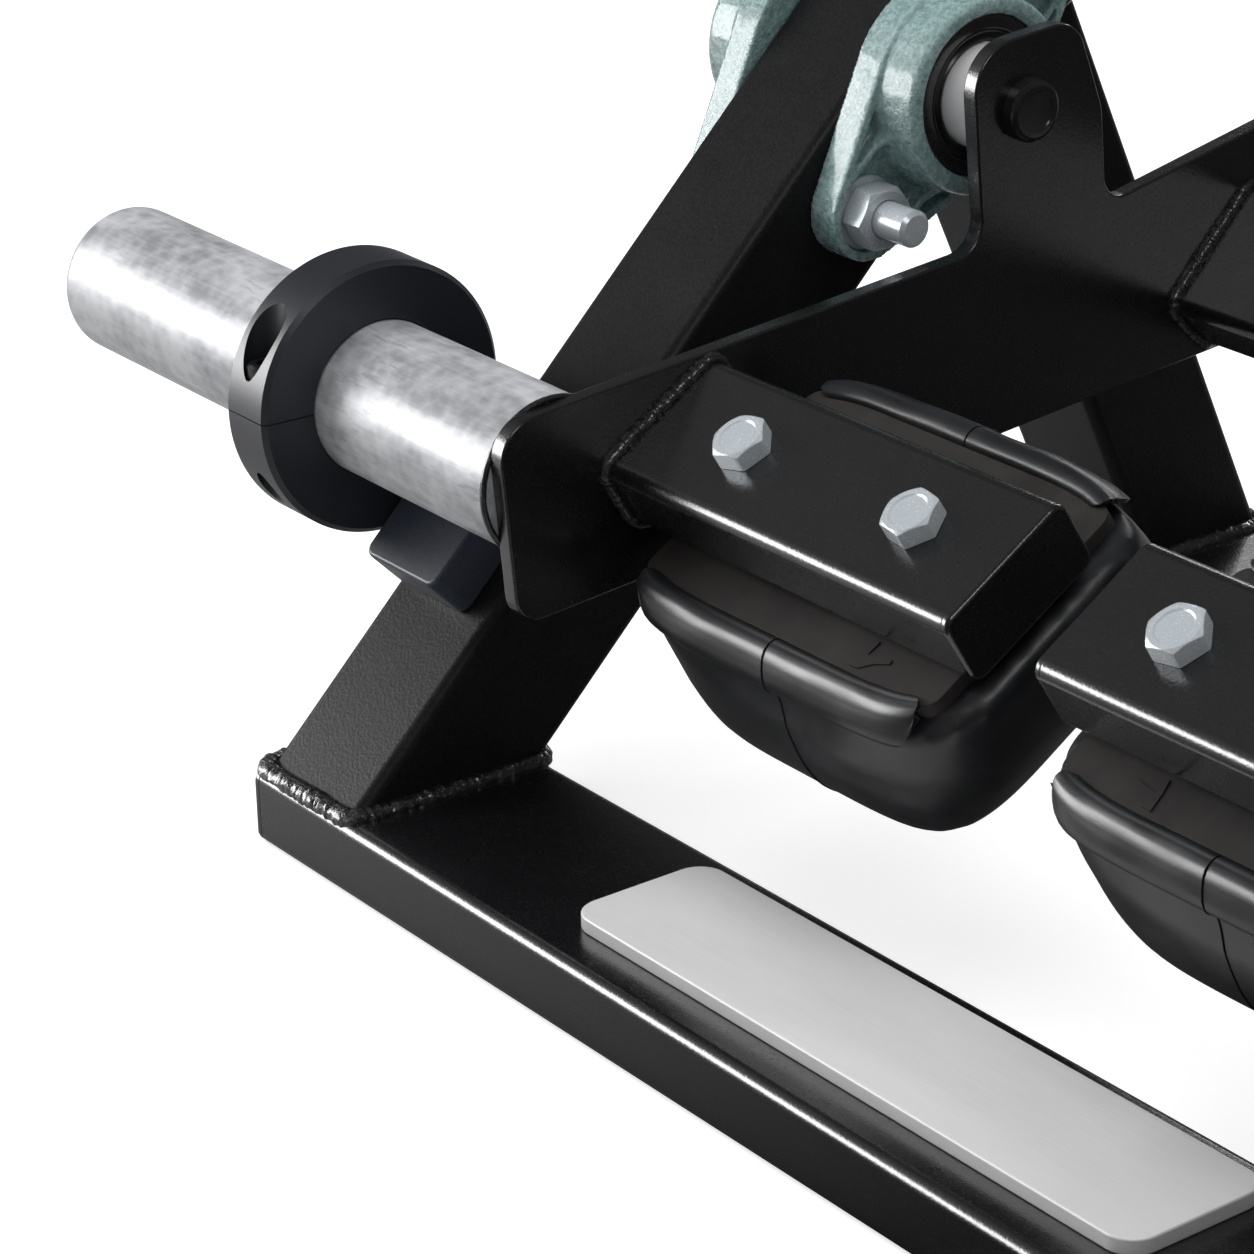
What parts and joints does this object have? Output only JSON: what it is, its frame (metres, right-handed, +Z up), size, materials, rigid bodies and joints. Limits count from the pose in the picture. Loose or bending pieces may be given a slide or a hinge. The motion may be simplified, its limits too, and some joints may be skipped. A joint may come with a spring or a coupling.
{
  "type": "tibialis dorsiflexion machine",
  "caption": "Low floor machine for raising the toes against weight: A-frames on flat bars carry bearing-hung arms with foot pads and outboard weight horns.",
  "frame": {"origin": "centre of the base's underside, on the floor", "axes": "+X to the right across the machine, +Y from the front base bar to the rear one, +Z up"},
  "size_m": [0.8498, 0.4, 0.2867],
  "materials": {
    "black_paint": "satin",
    "brushed_plate": "brushed",
    "cast_green": "painted cast iron",
    "race_steel": "ground",
    "black_rubber": "satin",
    "black_oxide": "black oxide",
    "zinc_plate": "bright zinc",
    "shaft_steel": "turned",
    "collar_black": "black oxide",
    "block_polymer": "matte",
    "plywood": "raw",
    "black_vinyl": "satin vinyl"
  },
  "bodies": {
    "frame": {"front_base_bar": "black_paint", "rear_base_bar": "black_paint", "base_end_plates": "black_paint", "foot_rest_plate": "brushed_plate", "left_front_leg": "black_paint", "left_rear_leg": "black_paint", "right_front_leg": "black_paint", "right_rear_leg": "black_paint", "apex_plates": "black_paint", "left_inner_housing": "cast_green", "left_outer_housing": "cast_green", "right_inner_housing": "cast_green", "right_outer_housing": "cast_green", "outer_races": "race_steel", "race_seals": "black_rubber", "housing_bolts": "zinc_plate", "housing_washers": "zinc_plate", "housing_nuts": "zinc_plate", "left_stop_block": "block_polymer", "right_stop_block": "block_polymer", "stop_block_screws": "black_oxide"},
    "left_arm": {"left_side_plate": "black_paint", "left_shaft": "shaft_steel", "left_inner_races": "race_steel", "left_set_screws": "black_oxide", "left_pad_tube": "black_paint", "left_heel_tube": "black_paint", "left_tube_caps": "black_paint", "left_pad_board": "plywood", "left_pad": "black_vinyl", "left_pad_bolts": "zinc_plate", "left_tee_nuts": "zinc_plate", "left_weight_horn": "zinc_plate", "left_horn_plug": "zinc_plate"},
    "left_collar_body": {"left_collar": "collar_black", "left_collar_screw": "black_oxide"},
    "right_arm": {"right_side_plate": "black_paint", "right_shaft": "shaft_steel", "right_inner_races": "race_steel", "right_set_screws": "black_oxide", "right_pad_tube": "black_paint", "right_heel_tube": "black_paint", "right_tube_caps": "black_paint", "right_pad_board": "plywood", "right_pad": "black_vinyl", "right_pad_bolts": "zinc_plate", "right_tee_nuts": "zinc_plate", "right_weight_horn": "zinc_plate", "right_horn_plug": "zinc_plate"},
    "right_collar_body": {"right_collar": "collar_black", "right_collar_screw": "black_oxide"}
  },
  "joints": [
    {"name": "left_arm_swing", "type": "hinge", "parent": "frame", "child": "left_arm", "pos_m": [-0.24, 0.03479, 0.21625], "axis": [-1, 0, 0], "range_deg": [0, 60]},
    {"name": "left_collar_slide", "type": "slide", "parent": "left_arm", "child": "left_collar_body", "axis": [-1, 0, 0], "range_m": [0, 0.1]},
    {"name": "right_arm_swing", "type": "hinge", "parent": "frame", "child": "right_arm", "pos_m": [0.24, 0.03479, 0.21625], "axis": [-1, 0, 0], "range_deg": [0, 60]},
    {"name": "right_collar_slide", "type": "slide", "parent": "right_arm", "child": "right_collar_body", "axis": [1, 0, 0], "range_m": [0, 0.1]}
  ]
}
